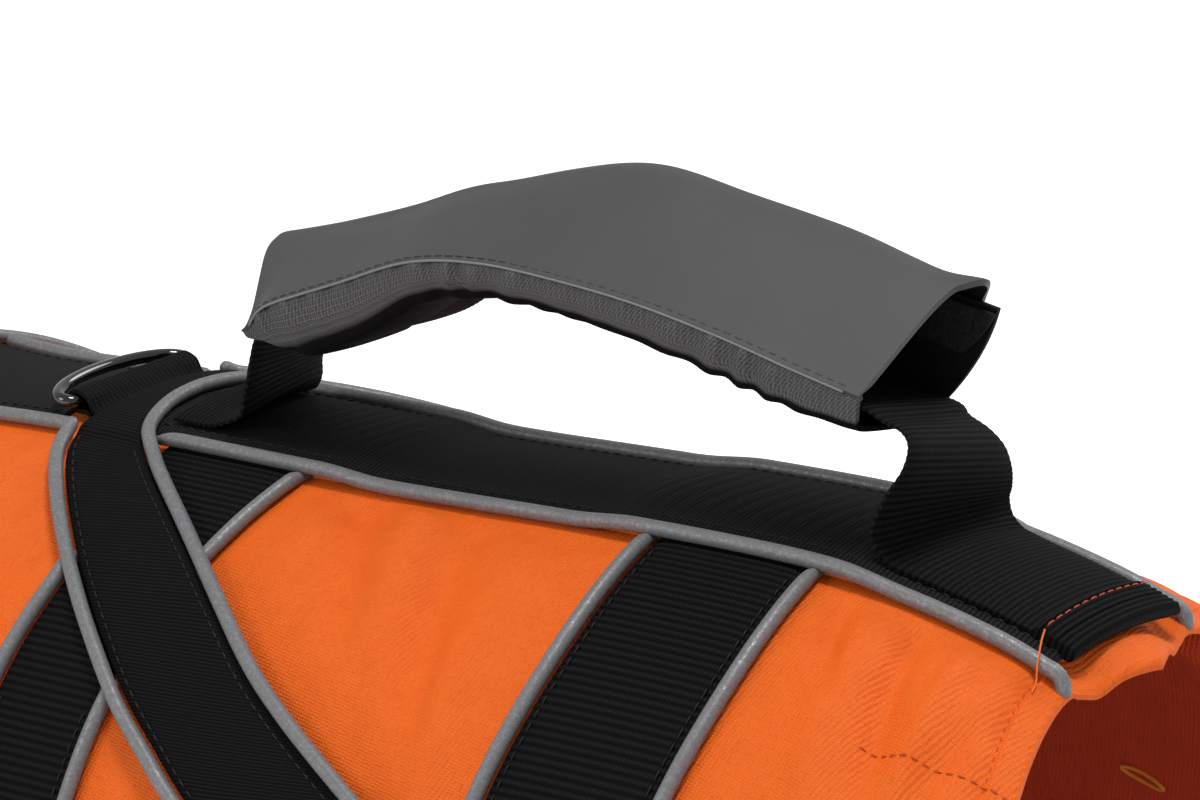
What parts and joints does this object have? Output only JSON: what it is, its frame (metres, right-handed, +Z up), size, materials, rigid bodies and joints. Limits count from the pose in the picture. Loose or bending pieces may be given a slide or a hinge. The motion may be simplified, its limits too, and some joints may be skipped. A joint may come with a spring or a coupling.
{
  "type": "dog life jacket",
  "caption": "Padded dog life jacket, hollow as worn, with edged webbing bands, a lifting handle in a wrapped grip, a lead ring and buckled closing straps.",
  "frame": {"origin": "inner face of the back, on the middle line, below the middle of the handle: where the dog's back holds the jacket up", "axes": "+X to the dog's tail, +Y to the dog's right, +Z up; the dog's head is towards -X"},
  "size_m": [0.3685, 0.2148, 0.3003],
  "materials": {
    "shell_cloth": "woven ripstop nylon, vivid orange, slight sheen",
    "webbing": "ribbed black webbing, matt",
    "piping": "grey reflective piping, satin",
    "grip": "smooth dark grey laminated cloth, satin",
    "grip_lining": "dark grey ripstop, matt",
    "flap_cloth": "smooth black cloth, matt",
    "hook_tape": "black hook tape, rough",
    "ring_metal": "gloss black",
    "buckle_plastic": "moulded black, satin"
  },
  "bodies": {
    "jacket": {"chest_band": "webbing", "chest_band_front_piping_left": "piping", "chest_band_front_piping_right": "piping", "chest_band_rear_piping_left": "piping", "chest_band_rear_piping_right": "piping", "chest_band_top_piping_left": "piping", "chest_band_top_piping_right": "piping", "chest_strap_buckle_plug": "buckle_plastic", "chest_strap_buckle_socket": "buckle_plastic", "chest_strap_left": "webbing", "chest_strap_right": "webbing", "front_belly_strap_buckle_plug": "buckle_plastic", "front_belly_strap_buckle_socket": "buckle_plastic", "front_belly_strap_left": "webbing", "front_belly_strap_right": "webbing", "grip_flap": "flap_cloth", "grip_underside": "grip_lining", "grip_upper": "grip", "handle_webbing": "webbing", "hook_tape": "hook_tape", "neck_band": "webbing", "neck_piping": "piping", "rear_band": "webbing", "rear_band_front_piping_left": "piping", "rear_band_front_piping_right": "piping", "rear_band_rear_piping_left": "piping", "rear_band_rear_piping_right": "piping", "rear_belly_strap_buckle_plug": "buckle_plastic", "rear_belly_strap_buckle_socket": "buckle_plastic", "rear_belly_strap_left": "webbing", "rear_belly_strap_right": "webbing", "ring_loop": "webbing", "shoulder_band": "webbing", "shoulder_front_piping_left": "piping", "shoulder_front_piping_right": "piping", "shoulder_rear_piping_left": "piping", "shoulder_rear_piping_right": "piping", "side_panel_left": "shell_cloth", "side_panel_right": "shell_cloth", "spine_front_piping_left": "piping", "spine_front_piping_right": "piping", "spine_rear_piping_left": "piping", "spine_rear_piping_right": "piping", "spine_strip": "webbing", "spine_strip_front": "webbing"},
    "ring": {"lead_ring": "ring_metal"}
  },
  "joints": [
    {"name": "ring_hinge", "type": "hinge", "parent": "jacket", "child": "ring", "pos_m": [-0.1285, 0, 0.00107], "axis": [0, 1, 0], "range_deg": [0, 140]}
  ]
}
